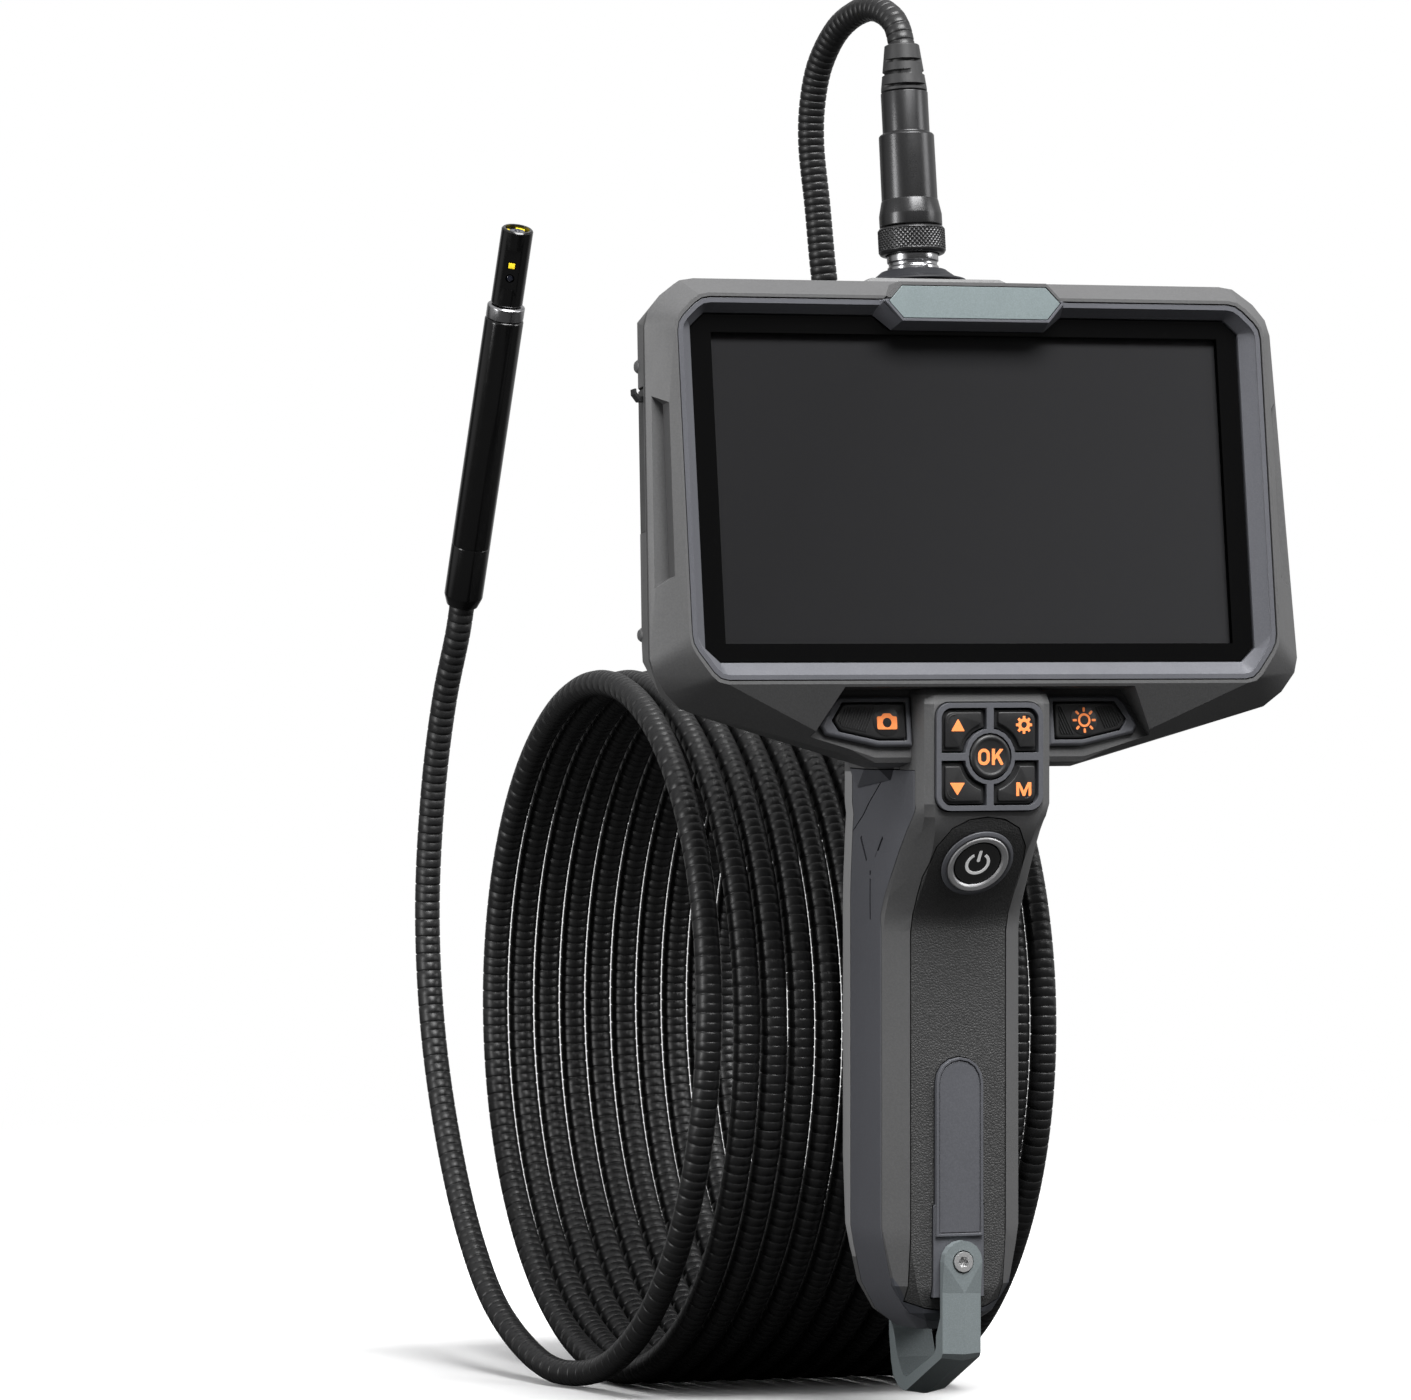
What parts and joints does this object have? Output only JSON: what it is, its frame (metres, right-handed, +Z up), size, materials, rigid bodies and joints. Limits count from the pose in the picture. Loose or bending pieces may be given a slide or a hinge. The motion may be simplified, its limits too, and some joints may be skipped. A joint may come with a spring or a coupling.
{
  "type": "inspection camera",
  "caption": "Handheld inspection camera: flat display on a pistol-grip handle with keypad, swinging bail, plug-in gooseneck cable in a coil and a slim rotating-tip probe.",
  "frame": {"origin": "middle of the handle's flat bottom end", "axes": "+Z up along the handle, -Y the way the screen faces, +X the user's right"},
  "size_m": [0.1414, 0.1925, 0.2834],
  "materials": {
    "case_plastic": "dark grey moulded plastic with a fine spark-eroded texture",
    "band_plastic": "blue-grey moulded plastic, satin",
    "trim_plastic": "blue-grey satin painted frame",
    "cover_glass": "glossy cover glass with a black border",
    "display": "dark display panel",
    "badge_metal": "green-grey brushed plate",
    "board": "green circuit board",
    "gloss_black": "gloss black plastic",
    "bright_ring": "satin steel",
    "grip_rubber": "black rubber with leather grain",
    "screw_steel": "plain steel",
    "socket_chrome": "polished chrome plate",
    "key_rubber": "black silicone rubber",
    "cell_wrap": "blue battery sleeve",
    "bail_metal": "green-grey metallic paint",
    "soft_black": "soft black rubber",
    "plug_black": "black anodised metal",
    "cable_jacket": "black segmented gooseneck jacket",
    "probe_black": "gloss black tube",
    "led_yellow": "yellow phosphor",
    "lens_glass": "small coated lens"
  },
  "bodies": {
    "case": {"front_housing": "case_plastic", "rear_housing": "case_plastic", "side_band": "band_plastic", "screen_trim": "trim_plastic", "screen_glass": "cover_glass", "lcd_panel": "display", "badge_plate": "badge_metal", "main_board": "board", "key_trim_left": "band_plastic", "key_trim_right": "band_plastic", "keypad_frame": "band_plastic", "key_board": "board", "power_bezel": "gloss_black", "power_ring": "bright_ring", "power_switch": "board", "grip_pad": "grip_rubber", "inlay_plate": "band_plastic", "bail_axle": "screw_steel", "bail_nut": "screw_steel", "connector_collar": "band_plastic", "connector_socket": "socket_chrome", "usb_port": "screw_steel", "card_slot": "screw_steel", "memory_card": "key_rubber", "battery_pack": "cell_wrap", "case_screw_1": "screw_steel", "case_screw_2": "screw_steel", "case_screw_3": "screw_steel", "case_screw_4": "screw_steel"},
    "up_key": {"key_up": "key_rubber"},
    "settings_key": {"key_settings": "key_rubber"},
    "down_key": {"key_down": "key_rubber"},
    "menu_key": {"key_menu": "key_rubber"},
    "ok_key": {"key_ok": "key_rubber"},
    "photo_key": {"key_photo": "key_rubber"},
    "light_key": {"key_light": "key_rubber"},
    "power_key": {"power_button": "gloss_black"},
    "bail_loop": {"bail": "bail_metal"},
    "side_cover": {"port_cover": "soft_black"},
    "plug": {"plug_body": "plug_black", "strain_relief": "soft_black", "insertion_cable": "cable_jacket", "probe_body": "probe_black", "probe_ring": "bright_ring", "probe_motor": "screw_steel"},
    "ring_nut": {"coupling_ring": "plug_black"},
    "probe_tip": {"probe_head": "probe_black", "front_camera": "plug_black", "front_led_ring": "led_yellow", "front_lens": "lens_glass", "side_camera": "plug_black", "side_lens": "lens_glass", "side_led": "led_yellow", "motor_shaft": "screw_steel"}
  },
  "joints": [
    {"name": "up_press", "type": "slide", "parent": "case", "child": "up_key", "axis": [0, 1, 0], "range_m": [0, 0.0005]},
    {"name": "settings_press", "type": "slide", "parent": "case", "child": "settings_key", "axis": [0, 1, 0], "range_m": [0, 0.0005]},
    {"name": "down_press", "type": "slide", "parent": "case", "child": "down_key", "axis": [0, 1, 0], "range_m": [0, 0.0005]},
    {"name": "menu_press", "type": "slide", "parent": "case", "child": "menu_key", "axis": [0, 1, 0], "range_m": [0, 0.0005]},
    {"name": "ok_press", "type": "slide", "parent": "case", "child": "ok_key", "axis": [0, 1, 0], "range_m": [0, 0.0005]},
    {"name": "photo_press", "type": "slide", "parent": "case", "child": "photo_key", "axis": [0, 0.9929, -0.1189], "range_m": [0, 0.0005]},
    {"name": "light_press", "type": "slide", "parent": "case", "child": "light_key", "axis": [0, 0.9929, -0.1189], "range_m": [0, 0.0005]},
    {"name": "power_press", "type": "slide", "parent": "case", "child": "power_key", "axis": [0, 0.829, 0.5592], "range_m": [0, 0.0006]},
    {"name": "bail_swing", "type": "hinge", "parent": "case", "child": "bail_loop", "pos_m": [0, 0, 0.0137], "axis": [0, 1, 0], "range_deg": [-90, 90]},
    {"name": "cover_open", "type": "hinge", "parent": "case", "child": "side_cover", "pos_m": [-0.06955, -0.0136, 0.1577], "axis": [0, -0.9929, 0.1189], "range_deg": [0, 90]},
    {"name": "plug_pull", "type": "slide", "parent": "case", "child": "plug", "axis": [0, 0.1189, 0.9929], "range_m": [0, 0.01]},
    {"name": "ring_turn", "type": "hinge", "parent": "plug", "child": "ring_nut", "pos_m": [0, 0.00995, 0.21641], "axis": [0, 0.1189, 0.9929], "continuous": true},
    {"name": "tip_turn", "type": "hinge", "parent": "plug", "child": "probe_tip", "pos_m": [-0.042, 0.11857, 0.20916], "axis": [0, -0.3619, 0.9322], "range_deg": [-180, 180]}
  ]
}
